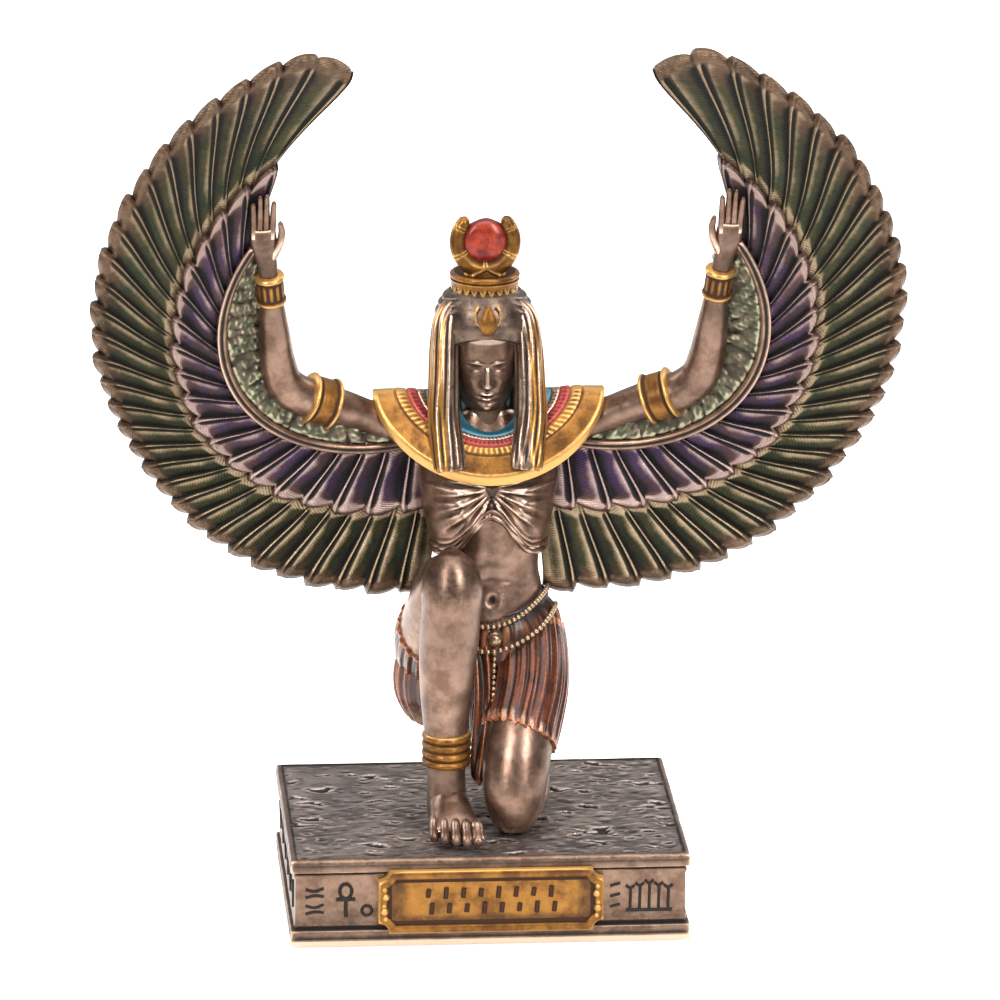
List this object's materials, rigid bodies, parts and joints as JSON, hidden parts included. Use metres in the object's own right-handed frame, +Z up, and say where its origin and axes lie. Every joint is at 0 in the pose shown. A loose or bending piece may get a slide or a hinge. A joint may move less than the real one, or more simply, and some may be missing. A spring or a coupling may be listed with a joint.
{
  "type": "isis statue",
  "caption": "Small cold-cast resin statuette of a kneeling winged goddess with a horned sun-disc headdress, arms spread along raised wings, on a low rectangular plinth.",
  "frame": {"origin": "centre of the plinth's underside, on the surface it stands on", "axes": "+Z up, -Y towards the viewer, the way the figure faces; +X to the viewer's right, the figure's left"},
  "size_m": [0.08, 0.0331, 0.092],
  "materials": {
    "figure_cast": "cold-cast bronze resin, warm brown with dark wash, worn highlights and hand painted colours",
    "plinth_cast": "cold-cast bronze resin, tan bronze with black wash in the recesses"
  },
  "bodies": {
    "root": {"figure": "figure_cast", "plinth": "plinth_cast"}
  },
  "joints": []
}
